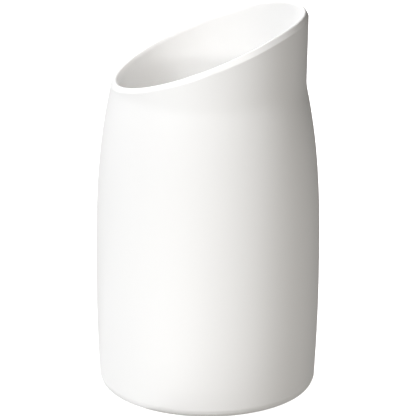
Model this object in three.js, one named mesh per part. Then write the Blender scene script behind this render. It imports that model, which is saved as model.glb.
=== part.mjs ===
// Pen holder cup: a white moulded shell with a swelling belly, a waisted neck and a slanted mouth.
// The shell is open below, because its belly is wider than its neck and the mould's core leaves
// downwards. A floor plug snaps into that opening and carries a soft pad that grips the desk.
//
// Millimetres, +Z up. The cup stands on Z = 0, its axis is the Z axis, and its mouth is highest
// on +X and lowest on -X.
import * as THREE from "three";

// ---- Driving dimensions --------------------------------------------------------------------

// Outside of the shell. Heights are measured from the desk.
const footLift = 0.6; // the shell's lower edge stands this far above the desk
const bellyRadius = 36.0; // at the widest place
const bellyHeight = 39.0;
const baseTuck = 1.2; // the lower edge, before it is rounded, is this much inside the belly
const waistTuck = 5.0; // the same at the waist, where the shoulder meets the neck
const waistHeight = 100.8;
const shoulderPower = 2.75; // how late the shoulder turns in: 2 is a parabola
const waistBlend = 0.6; // softness of the inner corner at the waist
const neckDraft = THREE.MathUtils.degToRad(0.9); // the neck opens upwards

// The mouth is cut by a slanting plane.
const mouthHeight = 114.3; // where that plane crosses the axis
const mouthSlant = THREE.MathUtils.degToRad(22.1);
const peakStart = 18.0; // towards +X from here the cut bends down, so that the peak is rounded
const peakRadius = 48.0;
const slantDepth = 35.0; // how far below the mouth the rings of facets begin to tilt

// Wall, lip and lower edge.
const wall = 2.2; // at the neck and lip
const baseWall = 2.0; // at the lower edge, round the floor plug
const lipBevelWidth = 0.85; // bevel on the outside of the lip
const lipBevelHeight = 1.6;
const lipCrest = 1.2; // how far in from the outside the lip is highest
const lipRoundHeight = 1.8; // rounding on the inside of the lip
const baseRoundWidth = 1.5;
const baseRoundHeight = 2.4;

// Groove in the bore that the floor plug snaps into.
const snapDepth = 0.6;
const snapHalfHeight = 1.0;

// Floor plug and grip pad.
const fitClearance = 0.3; // between plug and shell, and round and over the pad
const plugLowerEdge = 1.2;
const floorTop = 5.6;
const floorThickness = 2.4;
const plugRimWidth = 1.8; // rim round the recess that holds the pad
const plugTopChamfer = 0.5;
const padEdgeChamfer = 0.5;
const padGrooveRadii = [12.0, 21.0]; // grooves that stop the pad sticking to a wet desk
const padGrooveWidth = 1.2;
const padGrooveDepth = 0.6;

const facets = 64; // round the axis

// ---- Shape of the wall ---------------------------------------------------------------------

const baseRadius = bellyRadius - baseTuck;
const neckRadius = bellyRadius - waistTuck;
const boreRadius = baseRadius - baseWall;
const snapHeight = (plugLowerEdge + floorTop) / 2; // middle of the plug's edge

const point = (radius, height) => new THREE.Vector2(radius, height);

// The larger of two values, with the corner where they cross rounded off.
function smoothMax(a, b, softness) {
  const near = Math.max(softness - Math.abs(a - b), 0) / softness;
  return Math.max(a, b) + (near ** 3 * softness) / 6;
}

// Radius of the belly and shoulder, which ignores the neck.
function bodyRadius(height) {
  if (height < bellyHeight) {
    const below = (bellyHeight - height) / (bellyHeight - footLift);
    return bellyRadius - (bellyRadius - baseRadius) * below ** 2;
  }
  const above = (height - bellyHeight) / (waistHeight - bellyHeight);
  return bellyRadius - (bellyRadius - neckRadius) * above ** shoulderPower;
}

function outerRadius(height) {
  const neck = neckRadius + (height - waistHeight) * Math.tan(neckDraft);
  return smoothMax(bodyRadius(height), neck, waistBlend);
}

// The bore is straight from the belly down, so that the core can leave.
function innerRadius(height) {
  return height < bellyHeight ? boreRadius : Math.min(outerRadius(height) - wall, boreRadius);
}

// ---- Sections, as (radius, height) points --------------------------------------------------

// Evenly spaced heights from one to the other, without the first.
function steps(from, to, count) {
  return Array.from({ length: count }, (_, i) => from + ((to - from) * (i + 1)) / count);
}

const slantStart = mouthHeight - slantDepth;
const shoulderTop = waistHeight - 12; // the rings are closer together above this
const lipFoot = mouthHeight - lipBevelHeight;

// A place at the lip, this far in from the outer surface and below the crest.
const lip = (inset, drop) => point(outerRadius(mouthHeight - drop) - inset, mouthHeight - drop);

// The lower edge is an elliptic rounding that meets the wall at a faint line.
function baseEdge() {
  const top = footLift + baseRoundHeight;
  return new THREE.QuadraticBezierCurve(
    point(outerRadius(top) - baseRoundWidth, footLift),
    point(outerRadius(top) - baseRoundWidth * 0.3, footLift + baseRoundHeight * 0.2),
    point(outerRadius(top), top),
  ).getPoints(3);
}

function outsideWall() {
  return [
    ...steps(footLift + baseRoundHeight, slantStart, 7),
    ...steps(slantStart, shoulderTop, 3),
    ...steps(shoulderTop, lipFoot, 8),
  ].map((height) => point(outerRadius(height), height));
}

function lipEdge() {
  const crest = lip(lipCrest, 0);
  const outer = new THREE.QuadraticBezierCurve(
    lip(lipBevelWidth * 0.75, lipBevelHeight * 0.25),
    lip(lipBevelWidth, 0),
    crest,
  );
  const inner = new THREE.QuadraticBezierCurve(crest, lip(wall, 0), lip(wall, lipRoundHeight));
  return [...outer.getPoints(2), ...inner.getPoints(3).slice(1)];
}

function insideWall() {
  return [
    ...steps(mouthHeight - lipRoundHeight, shoulderTop, 6),
    ...steps(shoulderTop, slantStart, 2),
    ...steps(slantStart, snapHeight + snapHalfHeight, 5),
  ].map((height) => point(innerRadius(height), height));
}

// The groove has 45 degree flanks.
function snapGroove() {
  const flatHalfHeight = snapHalfHeight - snapDepth;
  return [
    point(boreRadius + snapDepth, snapHeight + flatHalfHeight),
    point(boreRadius + snapDepth, snapHeight - flatHalfHeight),
    point(boreRadius, snapHeight - snapHalfHeight),
  ];
}

// Up the outside, over the lip and down the bore, as if the mouth were level.
function shellSection() {
  const edge = baseEdge();
  return [
    ...edge,
    ...outsideWall(),
    ...lipEdge(),
    ...insideWall(),
    ...snapGroove(),
    point(boreRadius, footLift),
    edge[0].clone(),
  ];
}

// A plate with a recess below for the pad. The bead round its edge seats in the shell's groove.
function plugSection() {
  const edge = boreRadius - fitClearance;
  const recess = edge - plugRimWidth;
  const underside = floorTop - floorThickness;
  const beadHalfHeight = snapHalfHeight - fitClearance;
  const beadReach = snapDepth - 0.1;
  const beadFlat = beadHalfHeight - beadReach;
  return [
    point(0, underside),
    point(recess, underside),
    point(recess, plugLowerEdge),
    point(edge, plugLowerEdge),
    point(edge, snapHeight - beadHalfHeight),
    point(edge + beadReach, snapHeight - beadFlat),
    point(edge + beadReach, snapHeight + beadFlat),
    point(edge, snapHeight + beadHalfHeight),
    point(edge, floorTop - plugTopChamfer),
    point(edge - plugTopChamfer, floorTop),
    point(0, floorTop),
  ];
}

// A thick disc with round grooves in its sole.
function padSection() {
  const edge = boreRadius - fitClearance - plugRimWidth - fitClearance;
  const top = floorTop - floorThickness - fitClearance;
  const grooves = padGrooveRadii.flatMap((radius) => [
    point(radius - padGrooveWidth / 2, 0),
    point(radius, padGrooveDepth),
    point(radius + padGrooveWidth / 2, 0),
  ]);
  return [
    point(0, 0),
    ...grooves,
    point(edge - padEdgeChamfer, 0),
    point(edge, padEdgeChamfer),
    point(edge, top),
    point(0, top),
  ];
}

// ---- Solids --------------------------------------------------------------------------------

// Turns a section about the Z axis.
function turned(section) {
  return new THREE.LatheGeometry(section, facets).rotateX(Math.PI / 2);
}

// How far the cut stands above its height on the axis. It is a plane with a rounded peak.
function mouthRise(x) {
  return Math.tan(mouthSlant) * x - Math.max(x - peakStart, 0) ** 2 / (2 * peakRadius);
}

function mouthSlope(x) {
  return Math.tan(mouthSlant) - Math.max(x - peakStart, 0) / peakRadius;
}

// How much the outer edge of the lip grows, as a share of its size. The slant makes that edge
// sharp on +X and blunt on -X, and one rounding takes more off a sharp edge than off a blunt one.
function lipGrowth(x, cosine) {
  const lean = mouthSlope(x) * cosine;
  return lean + Math.hypot(1, lean) - 1;
}

// Slants the mouth of the level shell. The wall stays a turned one, because each vertex keeps its
// depth inside the outer surface, and only the rings tilt, more and more up to the foot of the
// lip. At the lip the depths and heights of the outer edge grow too.
function slantMouth(geometry) {
  const vertices = geometry.getAttribute("position");
  const vertex = new THREE.Vector3();
  for (let i = 0; i < vertices.count; i++) {
    vertex.fromBufferAttribute(vertices, i);
    const tilt = THREE.MathUtils.clamp((vertex.z - slantStart) / (lipFoot - slantStart), 0, 1);
    const levelRadius = Math.hypot(vertex.x, vertex.y);
    const depth = outerRadius(vertex.z) - levelRadius;
    const cosine = vertex.x / levelRadius;
    const sine = vertex.y / levelRadius;
    const growth = lipGrowth(vertex.x, cosine);
    // This is 1 at the crest and falls to 0 at both faces of the wall.
    const nearCrest = Math.max(Math.min(depth / lipCrest, (wall - depth) / (wall - lipCrest)), 0);
    const deeper = depth + growth * lipCrest * nearCrest;
    const drop = depth < lipCrest ? Math.min(mouthHeight - vertex.z, lipBevelHeight) : 0;
    const level = vertex.z - tilt * growth * drop;
    let radius = levelRadius;
    let height = vertex.z;
    // The height changes the radius a little and the other way round, so settle them in turn.
    for (let pass = 0; pass < 8 && tilt > 0; pass++) {
      height = level + tilt * mouthRise(radius * cosine);
      radius = outerRadius(height) - deeper;
    }
    vertices.setXYZ(i, radius * cosine, radius * sine, height);
  }
  return geometry;
}

// ---- The cup -------------------------------------------------------------------------------

const satinWhite = new THREE.MeshStandardMaterial({ color: 0xf3f2ee, roughness: 0.35 });
const naturalWhite = new THREE.MeshStandardMaterial({ color: 0xe9e8e3, roughness: 0.5 });
const greyRubber = new THREE.MeshStandardMaterial({ color: 0x6f7172, roughness: 0.85 });

function piece(name, geometry, material) {
  const mesh = new THREE.Mesh(geometry, material);
  mesh.name = name;
  return mesh;
}

const cup = new THREE.Group();
cup.add(
  piece("cup_shell", slantMouth(turned(shellSection())), satinWhite),
  piece("floor_plug", turned(plugSection()), naturalWhite),
  piece("grip_pad", turned(padSection()), greyRubber),
);

export default cup;
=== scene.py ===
"""Pen holder cup on a white studio floor: a turned shell with a slanted mouth, its floor plug and
its grip pad."""
import math

import bmesh
import bpy
from mathutils import Matrix, Vector


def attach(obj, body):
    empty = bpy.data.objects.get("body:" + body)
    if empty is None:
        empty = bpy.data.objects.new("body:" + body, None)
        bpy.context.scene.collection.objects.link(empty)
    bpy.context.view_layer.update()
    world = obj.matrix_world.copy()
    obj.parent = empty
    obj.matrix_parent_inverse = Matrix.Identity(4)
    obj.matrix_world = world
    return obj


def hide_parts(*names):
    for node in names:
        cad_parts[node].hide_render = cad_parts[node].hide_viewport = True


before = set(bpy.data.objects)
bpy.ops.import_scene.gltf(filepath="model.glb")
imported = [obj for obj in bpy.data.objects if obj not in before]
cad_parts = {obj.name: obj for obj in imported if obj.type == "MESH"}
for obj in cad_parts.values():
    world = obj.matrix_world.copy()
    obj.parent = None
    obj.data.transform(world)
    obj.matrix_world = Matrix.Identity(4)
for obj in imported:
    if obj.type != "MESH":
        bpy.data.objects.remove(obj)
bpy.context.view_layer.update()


# ---- Camera --------------------------------------------------------------------------------------
# A long lens about a metre away looks down on the cup a little, square on to the slant of its mouth,
# and the cup fills the height of the picture.

MM = 0.001
CAMERA_TURNS_ABOUT = 61.6 * MM  # height on the cup's axis
CAMERA_DISTANCE = 1044 * MM
CAMERA_ELEVATION = math.radians(18.96)
CAMERA_AIMS_AT = 59.1 * MM  # height on the cup's axis
CAMERA_ROLL = math.radians(0.36)
SENSOR_WIDTH = 36.0  # in millimetres, as the focal length
FOCAL_LENGTH = 281.4

scene = bpy.context.scene
camera_data = bpy.data.cameras.new("product_camera")
camera_data.sensor_width = SENSOR_WIDTH
camera_data.lens = FOCAL_LENGTH
camera_data.clip_start = 0.1
camera_data.clip_end = 30.0
camera = bpy.data.objects.new("product_camera", camera_data)
scene.collection.objects.link(camera)
camera.location = (
    0.0,
    -CAMERA_DISTANCE * math.cos(CAMERA_ELEVATION),
    CAMERA_TURNS_ABOUT + CAMERA_DISTANCE * math.sin(CAMERA_ELEVATION),
)
sight_line = Vector((0.0, 0.0, CAMERA_AIMS_AT)) - camera.location
level_camera = sight_line.to_track_quat("-Z", "Y").to_matrix().to_4x4()
rolled_camera = level_camera @ Matrix.Rotation(CAMERA_ROLL, 4, "Z")
camera.rotation_euler = rolled_camera.to_euler()
scene.camera = camera


# ---- Cup shell -----------------------------------------------------------------------------------
# One injection moulding in white ABS with a satin gloss. Its outside is turned about the axis, and the
# mouth is cut by a slanting plane. The core leaves downwards, so the bore is straight below the belly.

FOOT_LIFT = 0.6
BELLY_RADIUS = 36.0
BELLY_HEIGHT = 39.0
BASE_RADIUS = 34.8
NECK_RADIUS = 31.0
WAIST_HEIGHT = 100.8
SHOULDER_POWER = 2.75
WAIST_BLEND = 0.6
NECK_DRAFT = math.radians(0.9)
MOUTH_HEIGHT = 114.3
MOUTH_SLANT = math.radians(22.1)
PEAK_START = 18.0  # towards +X from here the cut bends down, so that the peak is rounded
PEAK_RADIUS = 48.0
SLANT_DEPTH = 35.0
WALL = 2.2
LIP_BEVEL_WIDTH = 0.85
LIP_BEVEL_HEIGHT = 1.6
LIP_BEVEL_EASE = 0.25  # the share of the bevel that turns over into the crest
LIP_CREST = 1.2
LIP_ROUND_HEIGHT = 1.8
BASE_ROUND_WIDTH = 1.5
BASE_ROUND_HEIGHT = 2.4
BASE_ROUND_CORNER = (0.3, 0.2)  # where its curve's corner lies, as shares of its width and height
BORE_RADIUS = 32.8
SNAP_HEIGHT = 3.4
SNAP_DEPTH = 0.6
SNAP_HALF_HEIGHT = 1.0
EDGE_SOFTNESS = 0.18  # radius that a moulded edge keeps where the tool is sharp
BASE_LINE_SOFTNESS = 0.08  # the same for the faint line where the lower rounding meets the wall

RING_PITCH = 1.0
ROUNDING_STEPS = 12
CREST_STEPS = 6
SOFT_EDGE_STEPS = 4
SHELL_STEPS_ROUND = 256
SETTLING_PASSES = 4
POLE_WELD = 0.001 * MM


def smooth_max(a, b, softness):
    """The larger of two values, with the corner where they cross rounded off, as a Math node does it."""
    near = max(softness - abs(a - b), 0.0) / softness
    return max(a, b) + near**3 * softness / 6


def outer_radius(height):
    """Radius of the shell's outside at a height, for a cup with a level mouth."""
    neck = NECK_RADIUS + (height - WAIST_HEIGHT) * math.tan(NECK_DRAFT)
    if height < BELLY_HEIGHT:
        below = (BELLY_HEIGHT - height) / (BELLY_HEIGHT - FOOT_LIFT)
        return BELLY_RADIUS - (BELLY_RADIUS - BASE_RADIUS) * below**2
    above = (height - BELLY_HEIGHT) / (WAIST_HEIGHT - BELLY_HEIGHT)
    body = BELLY_RADIUS - (BELLY_RADIUS - NECK_RADIUS) * above**SHOULDER_POWER
    return smooth_max(body, neck, WAIST_BLEND)


def inner_radius(height):
    return BORE_RADIUS if height < BELLY_HEIGHT else min(outer_radius(height) - WALL, BORE_RADIUS)


def steps(start, end, pitch):
    """Evenly spaced heights from one to the other, ends included, about a pitch apart."""
    count = max(1, round(abs(end - start) / pitch))
    return [start + (end - start) * i / count for i in range(count + 1)]


def bend(start, corner, end, count):
    """Points of a quadratic curve that leaves and arrives along the sides of a corner."""
    points = []
    for i in range(count + 1):
        t = i / count
        blend = [(1 - t) ** 2, 2 * t * (1 - t), t**2]
        points.append(tuple(sum(w * p[k] for w, p in zip(blend, (start, corner, end))) for k in (0, 1)))
    return points


def toward(start, end, distance):
    """The point at a distance from start on the way to end."""
    length = math.dist(start, end)
    return tuple(s + (e - s) * distance / length for s, e in zip(start, end))


def softened(before, corner, after, radius=EDGE_SOFTNESS):
    """A sharp corner of a section with the small rounding that a moulded edge has."""
    return bend(toward(corner, before, radius), corner, toward(corner, after, radius), SOFT_EDGE_STEPS)


def lip_point(inset, drop):
    """A place at the lip, this far in from the outer surface and below the crest."""
    return (outer_radius(MOUTH_HEIGHT - drop) - inset, MOUTH_HEIGHT - drop)


def shell_section():
    """The closed outline of the wall: up the outside, over the lip, down the bore and round the edge."""
    edge_top = FOOT_LIFT + BASE_ROUND_HEIGHT
    edge_foot = (outer_radius(edge_top) - BASE_ROUND_WIDTH, FOOT_LIFT)
    inward, upward = BASE_ROUND_CORNER
    edge_corner = (
        outer_radius(edge_top) - BASE_ROUND_WIDTH * inward,
        FOOT_LIFT + BASE_ROUND_HEIGHT * upward,
    )
    wall_foot = (outer_radius(edge_top), edge_top)
    lower_edge = bend(edge_foot, edge_corner, wall_foot, ROUNDING_STEPS)

    outside_top = MOUTH_HEIGHT - LIP_BEVEL_HEIGHT
    outside = [(outer_radius(z), z) for z in steps(edge_top, outside_top, RING_PITCH)]
    bevel_top = lip_point(LIP_BEVEL_WIDTH * (1 - LIP_BEVEL_EASE), LIP_BEVEL_HEIGHT * LIP_BEVEL_EASE)
    crest = lip_point(LIP_CREST, 0)
    lip = bend(bevel_top, lip_point(LIP_BEVEL_WIDTH, 0), crest, CREST_STEPS)
    lip += bend(crest, lip_point(WALL, 0), lip_point(WALL, LIP_ROUND_HEIGHT), ROUNDING_STEPS)[1:]

    snap_top = SNAP_HEIGHT + SNAP_HALF_HEIGHT
    snap_bottom = SNAP_HEIGHT - SNAP_HALF_HEIGHT
    inside_heights = steps(MOUTH_HEIGHT - LIP_ROUND_HEIGHT, snap_top, RING_PITCH)[1:]
    inside = [(inner_radius(z), z) for z in inside_heights]
    groove = [
        (BORE_RADIUS + SNAP_DEPTH, snap_top - SNAP_DEPTH),
        (BORE_RADIUS + SNAP_DEPTH, snap_bottom + SNAP_DEPTH),
        (BORE_RADIUS, snap_bottom),
    ]
    bore_foot = (BORE_RADIUS, FOOT_LIFT)
    return [
        *lower_edge[:-1],
        *softened(lower_edge[-2], wall_foot, outside[1], BASE_LINE_SOFTNESS),
        *outside[1:-1],
        *softened(outside[-2], outside[-1], bevel_top),
        *lip,
        *inside,
        *groove,
        *softened(groove[-1], bore_foot, lower_edge[0]),
    ]


def add_node(tree, kind, settings=None, inputs=None):
    """Adds a node and sets it up. An input, named or numbered, takes a value, a socket, or the first
    output of another node."""
    node = tree.nodes.new(kind)
    for name, value in (settings or {}).items():
        setattr(node, name, value)
    for key, value in (inputs or {}).items():
        if isinstance(value, bpy.types.Node):
            tree.links.new(value.outputs[0], node.inputs[key])
        elif isinstance(value, bpy.types.NodeSocket):
            tree.links.new(value, node.inputs[key])
        else:
            node.inputs[key].default_value = value
    return node


def open_tree(name, sizes):
    """A geometry tree with its inputs: the geometry, these sizes as (name, kind) pairs and a finish."""
    tree = bpy.data.node_groups.new(name, "GeometryNodeTree")
    tree.interface.new_socket("Geometry", in_out="INPUT", socket_type="NodeSocketGeometry")
    for title, kind in sizes:
        tree.interface.new_socket(title, in_out="INPUT", socket_type=kind)
    tree.interface.new_socket("Finish", in_out="INPUT", socket_type="NodeSocketMaterial")
    tree.interface.new_socket("Geometry", in_out="OUTPUT", socket_type="NodeSocketGeometry")
    return tree, add_node(tree, "NodeGroupInput").outputs


def close_tree(tree, geometry, finish):
    """Ends a tree: its result is made real and takes the finish."""
    real = add_node(tree, "GeometryNodeRealizeInstances", inputs={"Geometry": geometry})
    finished = add_node(tree, "GeometryNodeSetMaterial", inputs={"Geometry": real, "Material": finish})
    add_node(tree, "NodeGroupOutput", inputs={0: finished})
    return tree


def turning_tree():
    """Turns an outline in the XZ plane about Z: it is swept round a circle, and its poles are closed."""
    tree, given = open_tree("turn_about_the_axis", [
        ("Steps round", "NodeSocketInt"),
        ("Turning radius", "NodeSocketFloat"),
    ])
    circle = add_node(tree, "GeometryNodeCurvePrimitiveCircle", inputs={
        "Resolution": given["Steps round"], "Radius": given["Turning radius"]})
    outline = add_node(tree, "GeometryNodeMeshToCurve", inputs={"Mesh": given["Geometry"]})
    place = add_node(tree, "GeometryNodeInputPosition")
    axes = add_node(tree, "ShaderNodeSeparateXYZ", inputs={0: place}).outputs
    out_from_circle = add_node(tree, "ShaderNodeMath", {"operation": "SUBTRACT"}, {
        0: axes["X"], 1: given["Turning radius"]})
    down = add_node(tree, "ShaderNodeMath", {"operation": "MULTIPLY"}, {0: axes["Z"], 1: -1.0})
    flat = add_node(tree, "ShaderNodeCombineXYZ", inputs={"X": out_from_circle, "Y": down})
    laid = add_node(tree, "GeometryNodeSetPosition", inputs={"Geometry": outline, "Position": flat})
    swept = add_node(tree, "GeometryNodeCurveToMesh", inputs={"Curve": circle, "Profile Curve": laid})
    closed = add_node(tree, "GeometryNodeMergeByDistance", inputs={
        "Geometry": swept, "Distance": POLE_WELD})
    smooth = add_node(tree, "GeometryNodeSetShadeSmooth", inputs={"Geometry": closed})
    return close_tree(tree, smooth, given["Finish"])


OUTLINE_INPUTS = (
    "Belly radius",
    "Belly height",
    "Waist radius",
    "Waist height",
    "Power",
    "Blend",
    "Flare",
)


def radius_tree():
    """The outside's radius at a height above the belly, as outer_radius works it out."""
    tree = bpy.data.node_groups.new("radius_above_the_belly", "GeometryNodeTree")
    for name in ("Height", *OUTLINE_INPUTS):
        tree.interface.new_socket(name, in_out="INPUT", socket_type="NodeSocketFloat")
    tree.interface.new_socket("Radius", in_out="OUTPUT", socket_type="NodeSocketFloat")
    given = add_node(tree, "NodeGroupInput").outputs

    climbed = add_node(tree, "ShaderNodeMath", {"operation": "SUBTRACT"}, {
        0: given["Height"], 1: given["Belly height"]})
    whole_climb = add_node(tree, "ShaderNodeMath", {"operation": "SUBTRACT"}, {
        0: given["Waist height"], 1: given["Belly height"]})
    share = add_node(tree, "ShaderNodeMath", {"operation": "DIVIDE"}, {0: climbed, 1: whole_climb})
    bulge = add_node(tree, "ShaderNodeMath", {"operation": "POWER"}, {0: share, 1: given["Power"]})
    tuck = add_node(tree, "ShaderNodeMath", {"operation": "SUBTRACT"}, {
        0: given["Belly radius"], 1: given["Waist radius"]})
    drawn_in = add_node(tree, "ShaderNodeMath", {"operation": "MULTIPLY"}, {0: tuck, 1: bulge})
    body = add_node(tree, "ShaderNodeMath", {"operation": "SUBTRACT"}, {
        0: given["Belly radius"], 1: drawn_in})
    above_waist = add_node(tree, "ShaderNodeMath", {"operation": "SUBTRACT"}, {
        0: given["Height"], 1: given["Waist height"]})
    neck = add_node(tree, "ShaderNodeMath", {"operation": "MULTIPLY_ADD"}, {
        0: above_waist, 1: given["Flare"], 2: given["Waist radius"]})
    radius = add_node(tree, "ShaderNodeMath", {"operation": "SMOOTH_MAX"}, {
        0: body, 1: neck, 2: given["Blend"]})
    add_node(tree, "NodeGroupOutput", inputs={0: radius})
    return tree


def slanting_tree():
    """Tilts the rings of a level shell, more and more up to the lip, and keeps each on the outline. The
    lip's outer edge grows where the slant makes its corner sharp, and shrinks where it is blunt."""
    mouth_inputs = (
        "Slope",
        "Tilting starts",
        "Fully tilted",
        "Mouth height",
        "Bevel height",
        "Crest depth",
        "Wall",
        "Peak start",
        "Peak radius",
    )
    tree, given = open_tree("slant_the_mouth", [
        (name, "NodeSocketFloat") for name in (*mouth_inputs, *OUTLINE_INPUTS)])
    radius_group = radius_tree()
    outline = {name: given[name] for name in OUTLINE_INPUTS}

    # Where each vertex of the level shell is.
    place = add_node(tree, "GeometryNodeInputPosition")
    axes = add_node(tree, "ShaderNodeSeparateXYZ", inputs={0: place}).outputs
    across = add_node(tree, "ShaderNodeCombineXYZ", inputs={"X": axes["X"], "Y": axes["Y"]})
    level_radius = add_node(tree, "ShaderNodeVectorMath", {"operation": "LENGTH"}, {
        0: across}).outputs["Value"]
    outside = add_node(tree, "GeometryNodeGroup", {"node_tree": radius_group}, {
        "Height": axes["Z"], **outline})
    depth = add_node(tree, "ShaderNodeMath", {"operation": "SUBTRACT"}, {0: outside, 1: level_radius})
    cosine = add_node(tree, "ShaderNodeMath", {"operation": "DIVIDE"}, {0: axes["X"], 1: level_radius})
    sine = add_node(tree, "ShaderNodeMath", {"operation": "DIVIDE"}, {0: axes["Y"], 1: level_radius})
    tilt = add_node(tree, "ShaderNodeMapRange", {"clamp": True}, {
        "Value": axes["Z"], "From Min": given["Tilting starts"], "From Max": given["Fully tilted"]})

    # How much the lip's outer edge grows there: lean + sqrt(lean^2 + 1) - 1.
    from_start = add_node(tree, "ShaderNodeMath", {"operation": "SUBTRACT"}, {
        0: axes["X"], 1: given["Peak start"]})
    beyond_start = add_node(tree, "ShaderNodeMath", {"operation": "MAXIMUM"}, {0: from_start, 1: 0.0})
    flattening = add_node(tree, "ShaderNodeMath", {"operation": "DIVIDE"}, {
        0: beyond_start, 1: given["Peak radius"]})
    slope = add_node(tree, "ShaderNodeMath", {"operation": "SUBTRACT"}, {
        0: given["Slope"], 1: flattening})
    lean = add_node(tree, "ShaderNodeMath", {"operation": "MULTIPLY"}, {0: slope, 1: cosine})
    square = add_node(tree, "ShaderNodeMath", {"operation": "MULTIPLY_ADD"}, {0: lean, 1: lean, 2: 1.0})
    hypotenuse = add_node(tree, "ShaderNodeMath", {"operation": "SQRT"}, {0: square})
    together = add_node(tree, "ShaderNodeMath", {"operation": "ADD"}, {0: lean, 1: hypotenuse})
    growth = add_node(tree, "ShaderNodeMath", {"operation": "SUBTRACT"}, {0: together, 1: 1.0})

    # The edge moves in by its growth, most of all at the crest and not at the wall's two faces.
    inner_width = add_node(tree, "ShaderNodeMath", {"operation": "SUBTRACT"}, {
        0: given["Wall"], 1: given["Crest depth"]})
    widths = add_node(tree, "ShaderNodeMath", {"operation": "DIVIDE"}, {
        0: given["Crest depth"], 1: inner_width})
    from_bore = add_node(tree, "ShaderNodeMath", {"operation": "SUBTRACT"}, {
        0: given["Wall"], 1: depth})
    beyond_crest = add_node(tree, "ShaderNodeMath", {"operation": "MULTIPLY"}, {
        0: from_bore, 1: widths})
    nearer = add_node(tree, "ShaderNodeMath", {"operation": "MINIMUM"}, {0: depth, 1: beyond_crest})
    spread = add_node(tree, "ShaderNodeMath", {"operation": "MAXIMUM"}, {0: nearer, 1: 0.0})
    deeper = add_node(tree, "ShaderNodeMath", {"operation": "MULTIPLY_ADD"}, {
        0: growth, 1: spread, 2: depth})

    # The edge moves down by its growth too.
    below_mouth = add_node(tree, "ShaderNodeMath", {"operation": "SUBTRACT"}, {
        0: given["Mouth height"], 1: axes["Z"]})
    drop = add_node(tree, "ShaderNodeMath", {"operation": "MINIMUM"}, {
        0: below_mouth, 1: given["Bevel height"]})
    grown_drop = add_node(tree, "ShaderNodeMath", {"operation": "MULTIPLY"}, {0: growth, 1: drop})
    is_outside = add_node(tree, "ShaderNodeMath", {"operation": "LESS_THAN"}, {
        0: depth, 1: given["Crest depth"]})
    where = add_node(tree, "ShaderNodeMath", {"operation": "MULTIPLY"}, {0: tilt, 1: is_outside})
    lowering = add_node(tree, "ShaderNodeMath", {"operation": "MULTIPLY"}, {0: grown_drop, 1: where})
    level_height = add_node(tree, "ShaderNodeMath", {"operation": "SUBTRACT"}, {
        0: axes["Z"], 1: lowering})

    # The height and the radius depend a little on each other, so they are settled in turn.
    bend_down = add_node(tree, "ShaderNodeMath", {"operation": "DIVIDE"}, {
        0: -0.5, 1: given["Peak radius"]})
    radius = level_radius
    for _ in range(SETTLING_PASSES):
        forward = add_node(tree, "ShaderNodeMath", {"operation": "MULTIPLY"}, {0: radius, 1: cosine})
        ahead = add_node(tree, "ShaderNodeMath", {"operation": "SUBTRACT"}, {
            0: forward, 1: given["Peak start"]})
        past = add_node(tree, "ShaderNodeMath", {"operation": "MAXIMUM"}, {0: ahead, 1: 0.0})
        squared = add_node(tree, "ShaderNodeMath", {"operation": "MULTIPLY"}, {0: past, 1: past})
        dip = add_node(tree, "ShaderNodeMath", {"operation": "MULTIPLY"}, {0: squared, 1: bend_down})
        rise = add_node(tree, "ShaderNodeMath", {"operation": "MULTIPLY_ADD"}, {
            0: forward, 1: given["Slope"], 2: dip})
        height = add_node(tree, "ShaderNodeMath", {"operation": "MULTIPLY_ADD"}, {
            0: tilt, 1: rise, 2: level_height})
        outside = add_node(tree, "GeometryNodeGroup", {"node_tree": radius_group}, {
            "Height": height, **outline})
        radius = add_node(tree, "ShaderNodeMath", {"operation": "SUBTRACT"}, {0: outside, 1: deeper})

    x = add_node(tree, "ShaderNodeMath", {"operation": "MULTIPLY"}, {0: radius, 1: cosine})
    y = add_node(tree, "ShaderNodeMath", {"operation": "MULTIPLY"}, {0: radius, 1: sine})
    moved = add_node(tree, "ShaderNodeCombineXYZ", inputs={"X": x, "Y": y, "Z": height})
    tilts = add_node(tree, "ShaderNodeMath", {"operation": "GREATER_THAN"}, {0: tilt, 1: 0.0})
    slanted = add_node(tree, "GeometryNodeSetPosition", inputs={
        "Geometry": given["Geometry"], "Selection": tilts, "Position": moved})
    return close_tree(tree, slanted, given["Finish"])


def outline_object(name, points, closed):
    """A chain of edges in the XZ plane, in metres, from points in millimetres."""
    mesh = bpy.data.meshes.new(name + "_outline")
    edges = [(i, i + 1) for i in range(len(points) - 1)]
    if closed:
        edges.append((len(points) - 1, 0))
    mesh.from_pydata([(x * MM, 0.0, z * MM) for x, z in points], edges, [])
    outline = bpy.data.objects.new(name, mesh)
    scene.collection.objects.link(outline)
    return outline


def use_tree(piece, tree, values):
    """Adds a tree as a modifier and sets its inputs by name."""
    modifier = piece.modifiers.new(tree.name, "NODES")
    modifier.node_group = tree
    for item in tree.interface.items_tree:
        if item.in_out == "INPUT" and item.name in values:
            modifier[item.identifier] = values[item.name]


def made_real(piece):
    """Swaps the outline and its trees for the plain mesh that they make, with its faces outwards."""
    depsgraph = bpy.context.evaluated_depsgraph_get()
    mesh = bpy.data.meshes.new_from_object(piece.evaluated_get(depsgraph), depsgraph=depsgraph)
    piece.modifiers.clear()
    piece.data = mesh
    mesh.name = piece.name
    solid = bmesh.new()
    solid.from_mesh(mesh)
    bmesh.ops.recalc_face_normals(solid, faces=solid.faces)
    solid.to_mesh(mesh)
    solid.free()


def linear(hex_colour):
    """An sRGB hex colour as the linear RGBA that the shaders take."""
    channels = [int(hex_colour[i:i + 2], 16) / 255 for i in (1, 3, 5)]
    curve = [c / 12.92 if c <= 0.04045 else ((c + 0.055) / 1.055) ** 2.4 for c in channels]
    return (*curve, 1.0)


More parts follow.
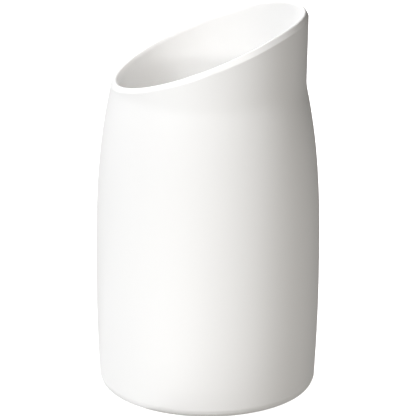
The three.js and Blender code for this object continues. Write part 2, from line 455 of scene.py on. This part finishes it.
def new_material(name, settings):
    """A material with these values on its shader, and its tree, shader and object coordinates."""
    material = bpy.data.materials.new(name)
    material.use_nodes = True
    tree = material.node_tree
    shader = tree.nodes["Principled BSDF"]
    for key, value in settings.items():
        shader.inputs[key].default_value = value
    place = add_node(tree, "ShaderNodeTexCoord").outputs["Object"]
    return material, tree, shader, place


def satin_white_abs():
    """Moulded white ABS: milky, evenly white, with the soft gloss of a fine-blasted tool and a trace of
    the shrink waviness that every moulded wall has."""
    material, tree, shader, place = new_material("satin_white_abs", {
        "Base Color": linear("#F3F2F1"),
        "Roughness": 0.34,
        "IOR": 1.53,
    })
    waviness = add_node(tree, "ShaderNodeTexNoise", inputs={
        "Vector": place, "Scale": 45.0, "Detail": 1.0})
    grain = add_node(tree, "ShaderNodeTexNoise", inputs={
        "Vector": place, "Scale": 1800.0, "Detail": 2.0})
    wavy = add_node(tree, "ShaderNodeBump", inputs={
        "Height": waviness, "Distance": 0.02 * MM, "Strength": 0.4})
    fine = add_node(tree, "ShaderNodeBump", inputs={
        "Height": grain, "Distance": 0.008 * MM, "Strength": 0.5, "Normal": wavy})
    gloss = add_node(tree, "ShaderNodeMapRange", inputs={
        "Value": grain, "To Min": 0.31, "To Max": 0.37})
    tree.links.new(fine.outputs[0], shader.inputs["Normal"])
    tree.links.new(gloss.outputs[0], shader.inputs["Roughness"])
    return material


turn = turning_tree()
slant = slanting_tree()
white_abs = satin_white_abs()
cup_shell = outline_object("moulded_shell", shell_section(), closed=True)
use_tree(cup_shell, turn, {
    "Steps round": SHELL_STEPS_ROUND,
    "Turning radius": BORE_RADIUS * MM,
    "Finish": white_abs,
})
use_tree(cup_shell, slant, {
    "Slope": math.tan(MOUTH_SLANT),
    "Tilting starts": (MOUTH_HEIGHT - SLANT_DEPTH) * MM,
    "Fully tilted": (MOUTH_HEIGHT - LIP_BEVEL_HEIGHT) * MM,
    "Mouth height": MOUTH_HEIGHT * MM,
    "Bevel height": LIP_BEVEL_HEIGHT * MM,
    "Crest depth": LIP_CREST * MM,
    "Wall": WALL * MM,
    "Peak start": PEAK_START * MM,
    "Peak radius": PEAK_RADIUS * MM,
    "Belly radius": BELLY_RADIUS * MM,
    "Belly height": BELLY_HEIGHT * MM,
    "Waist radius": NECK_RADIUS * MM,
    "Waist height": WAIST_HEIGHT * MM,
    "Power": SHOULDER_POWER,
    "Blend": WAIST_BLEND * MM,
    "Flare": math.tan(NECK_DRAFT),
    "Finish": white_abs,
})
made_real(cup_shell)
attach(cup_shell, "root")
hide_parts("cup_shell")


# ---- Floor plug ----------------------------------------------------------------------------------
# The floor that the pens stand on: a plate moulded in natural white polypropylene, with a recess below
# for the pad. A bead round its edge snaps into the groove in the shell's bore.

FIT_CLEARANCE = 0.3
BEAD_CLEARANCE = 0.1  # between the bead and the bottom of the groove
PLUG_LOWER_EDGE = 1.2
FLOOR_TOP = 5.6
FLOOR_THICKNESS = 2.4
PLUG_RIM_WIDTH = 1.8
PLUG_TOP_CHAMFER = 0.5
PLUG_EDGE_SOFTNESS = 0.25

FACET_PITCH = 0.8
SOFTNESS_LIMIT = 0.45  # the most that a rounding takes of the side next to it
PLATE_STEPS_ROUND = 192


def filled(corners):
    """A polyline with points added along its long sides, so that its facets stay small."""
    points = [corners[0]]
    for start, end in zip(corners, corners[1:]):
        count = max(1, round(math.dist(start, end) / FACET_PITCH))
        for i in range(1, count + 1):
            points.append(tuple(s + (e - s) * i / count for s, e in zip(start, end)))
    return points


def rounded_outline(corners, radius):
    """An open outline with every inner corner softened, and its two ends left on the axis."""
    points = [corners[0]]
    for before, corner, after in zip(corners, corners[1:], corners[2:]):
        limit = SOFTNESS_LIMIT * min(math.dist(before, corner), math.dist(corner, after))
        points += softened(before, corner, after, min(radius, limit))
    return filled([*points, corners[-1]])


def plug_section():
    """Half of the plate's section, from the axis along its underside and back along its top."""
    edge = BORE_RADIUS - FIT_CLEARANCE
    recess = edge - PLUG_RIM_WIDTH
    underside = FLOOR_TOP - FLOOR_THICKNESS
    bead_half_height = SNAP_HALF_HEIGHT - FIT_CLEARANCE
    bead_reach = SNAP_DEPTH - BEAD_CLEARANCE
    bead_flat = bead_half_height - bead_reach
    return rounded_outline([
        (0.0, underside),
        (recess, underside),
        (recess, PLUG_LOWER_EDGE),
        (edge, PLUG_LOWER_EDGE),
        (edge, SNAP_HEIGHT - bead_half_height),
        (edge + bead_reach, SNAP_HEIGHT - bead_flat),
        (edge + bead_reach, SNAP_HEIGHT + bead_flat),
        (edge, SNAP_HEIGHT + bead_half_height),
        (edge, FLOOR_TOP - PLUG_TOP_CHAMFER),
        (edge - PLUG_TOP_CHAMFER, FLOOR_TOP),
        (0.0, FLOOR_TOP),
    ], PLUG_EDGE_SOFTNESS)


def natural_polypropylene():
    """Moulded polypropylene: waxy, a little greyer and duller than the shell, with a fine spark-eroded
    grain on its flat faces."""
    material, tree, shader, place = new_material("natural_polypropylene", {
        "Base Color": linear("#E9E8E3"),
        "Roughness": 0.48,
        "IOR": 1.49,
    })
    grain = add_node(tree, "ShaderNodeTexVoronoi", inputs={"Vector": place, "Scale": 2500.0})
    bump = add_node(tree, "ShaderNodeBump", inputs={
        "Height": grain.outputs["Distance"], "Distance": 0.03 * MM, "Strength": 0.5})
    tree.links.new(bump.outputs[0], shader.inputs["Normal"])
    return material


floor_plug = outline_object("snap_in_floor", plug_section(), closed=False)
use_tree(floor_plug, turn, {
    "Steps round": PLATE_STEPS_ROUND,
    "Turning radius": BORE_RADIUS * MM,
    "Finish": natural_polypropylene(),
})
made_real(floor_plug)
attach(floor_plug, "root")
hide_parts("floor_plug")


# ---- Grip pad ------------------------------------------------------------------------------------
# A die-cut and moulded disc of grey silicone rubber, glued into the recess under the floor. Round
# grooves in its sole let air out, so that the cup can be lifted from a wet or polished desk.

PAD_EDGE_CHAMFER = 0.5
PAD_GROOVE_RADII = (12.0, 21.0)
PAD_GROOVE_WIDTH = 1.2
PAD_GROOVE_DEPTH = 0.6
PAD_EDGE_SOFTNESS = 0.2


def pad_section():
    """Half of the disc's section, from the axis along its sole and back along its top."""
    edge = BORE_RADIUS - FIT_CLEARANCE - PLUG_RIM_WIDTH - FIT_CLEARANCE
    top = FLOOR_TOP - FLOOR_THICKNESS - FIT_CLEARANCE
    grooves = []
    for radius in PAD_GROOVE_RADII:
        grooves += [
            (radius - PAD_GROOVE_WIDTH / 2, 0.0),
            (radius, PAD_GROOVE_DEPTH),
            (radius + PAD_GROOVE_WIDTH / 2, 0.0),
        ]
    return rounded_outline([
        (0.0, 0.0),
        *grooves,
        (edge - PAD_EDGE_CHAMFER, 0.0),
        (edge, PAD_EDGE_CHAMFER),
        (edge, top),
        (0.0, top),
    ], PAD_EDGE_SOFTNESS)


def grey_silicone():
    """Silicone rubber: soft and matt, dark grey with pale dust caught in its grain."""
    material, tree, shader, place = new_material("grey_silicone", {
        "Base Color": linear("#6F7172"),
        "Roughness": 0.82,
        "IOR": 1.41,
    })
    speckle = add_node(tree, "ShaderNodeTexNoise", inputs={
        "Vector": place, "Scale": 900.0, "Detail": 3.0})
    tone = add_node(tree, "ShaderNodeMix", {"data_type": "RGBA"}, {
        "Factor": speckle, "A": linear("#66686A"), "B": linear("#7A7C7C")})
    bump = add_node(tree, "ShaderNodeBump", inputs={
        "Height": speckle, "Distance": 0.05 * MM, "Strength": 0.6})
    tree.links.new(tone.outputs["Result"], shader.inputs["Base Color"])
    tree.links.new(bump.outputs[0], shader.inputs["Normal"])
    return material


grip_pad = outline_object("silicone_pad", pad_section(), closed=False)
use_tree(grip_pad, turn, {
    "Steps round": PLATE_STEPS_ROUND,
    "Turning radius": BORE_RADIUS * MM,
    "Finish": grey_silicone(),
})
made_real(grip_pad)
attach(grip_pad, "root")
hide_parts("grip_pad")


# ---- Studio --------------------------------------------------------------------------------------
# A white floor that runs up into a wall all round, in a dark room. Soft boxes stand at the left, the
# front and the back, and white cards lie round the cup and throw light back up at it.

FLOOR_RADIUS = 2.6
FLOOR_MIDDLE = 0.6
COVE_RADIUS = 1.2
COVE_STEPS = 16
WALL_TOP = 4.0
FLOOR_STEPS_ROUND = 96
FLOOR_TURNING_RADIUS = 1.0
SOFTBOX_DISTANCE = 1.2
SOFTBOXES_FACE = 65 * MM  # height on the cup's axis

COOL = (0.95, 0.975, 1.0)
NEUTRAL = (1.0, 1.0, 1.0)
WARM = (1.0, 0.975, 0.93)


def studio_floor():
    """The floor's outline from the cup outwards, up its cove and the wall, in millimetres."""
    cove = []
    for i in range(COVE_STEPS + 1):
        angle = math.pi / 2 * i / COVE_STEPS
        reach = FLOOR_RADIUS + COVE_RADIUS * math.sin(angle)
        cove.append((reach, COVE_RADIUS * (1 - math.cos(angle))))
    rim = [(0.0, 0.0), (FLOOR_MIDDLE, 0.0), *cove, (FLOOR_RADIUS + COVE_RADIUS, WALL_TOP)]
    return [(x / MM, z / MM) for x, z in rim]


def white_paper():
    """Seamless background paper: plain, matt and nearly white."""
    material, tree, shader, place = new_material("seamless_paper", {
        "Base Color": linear("#FBFBFA"),
        "Roughness": 0.9,
        "Emission Color": linear("#FFFFFF"),
        "Emission Strength": 0.9,
    })
    fibre = add_node(tree, "ShaderNodeTexNoise", inputs={
        "Vector": place, "Scale": 300.0, "Detail": 3.0})
    bump = add_node(tree, "ShaderNodeBump", inputs={
        "Height": fibre, "Distance": 0.05 * MM, "Strength": 0.2})
    tree.links.new(bump.outputs[0], shader.inputs["Normal"])
    return material


def soft_light(name, azimuth, elevation, size, power, colour):
    """A square soft box that faces the middle of the cup. Azimuth 0 is on the camera's side, and it
    grows towards +X."""
    light = bpy.data.lights.new(name, "AREA")
    light.shape = "SQUARE"
    light.color = colour
    light.size = size
    light.energy = power
    lamp = bpy.data.objects.new(name, light)
    scene.collection.objects.link(lamp)
    turn_to, rise = math.radians(azimuth), math.radians(elevation)
    away = Vector((
        math.sin(turn_to) * math.cos(rise),
        -math.cos(turn_to) * math.cos(rise),
        math.sin(rise),
    ))
    lamp.location = Vector((0.0, 0.0, SOFTBOXES_FACE)) + away * SOFTBOX_DISTANCE
    lamp.rotation_euler = (-away).to_track_quat("-Z", "Y").to_euler()


def lying_card(name, x, y, z, radius, power, colour):
    """A round card just above the floor that throws light up, and that the camera does not see."""
    light = bpy.data.lights.new(name, "AREA")
    light.shape = "DISK"
    light.color = colour
    light.size = 2 * radius
    light.energy = power
    card = bpy.data.objects.new(name, light)
    scene.collection.objects.link(card)
    card.location = (x, y, z)
    card.rotation_euler = (math.pi, 0.0, 0.0)
    card.visible_camera = False


floor = outline_object("paper_floor", studio_floor(), closed=False)
use_tree(floor, turn, {
    "Steps round": FLOOR_STEPS_ROUND,
    "Turning radius": FLOOR_TURNING_RADIUS,
    "Finish": white_paper(),
})
made_real(floor)
floor.visible_diffuse = False
floor.visible_glossy = False

soft_light("left_softbox", -45, 30, 0.4, 9.7, COOL)
soft_light("front_softbox", 14, 38, 0.8, 7.3, WARM)
soft_light("back_softbox", -140, 38, 0.8, 15.5, NEUTRAL)

# The cards lie at heights of their own, because two in one plane would take each other's light.
lying_card("wide_card", 0.0, 0.0, 0.10 * MM, 0.5, 0.79, WARM)
lying_card("middle_card", 0.0, 0.0, 0.25 * MM, 0.22, 0.048, WARM)
lying_card("left_card", -0.16, -0.08, 0.40 * MM, 0.15, 0.078, COOL)
lying_card("front_card", 0.0, -0.2, 0.55 * MM, 0.15, 0.052, NEUTRAL)

room = bpy.data.worlds.new("dark_room")
room.use_nodes = True
room.node_tree.nodes["Background"].inputs["Strength"].default_value = 0.0
scene.world = room
scene.view_settings.view_transform = "Standard"
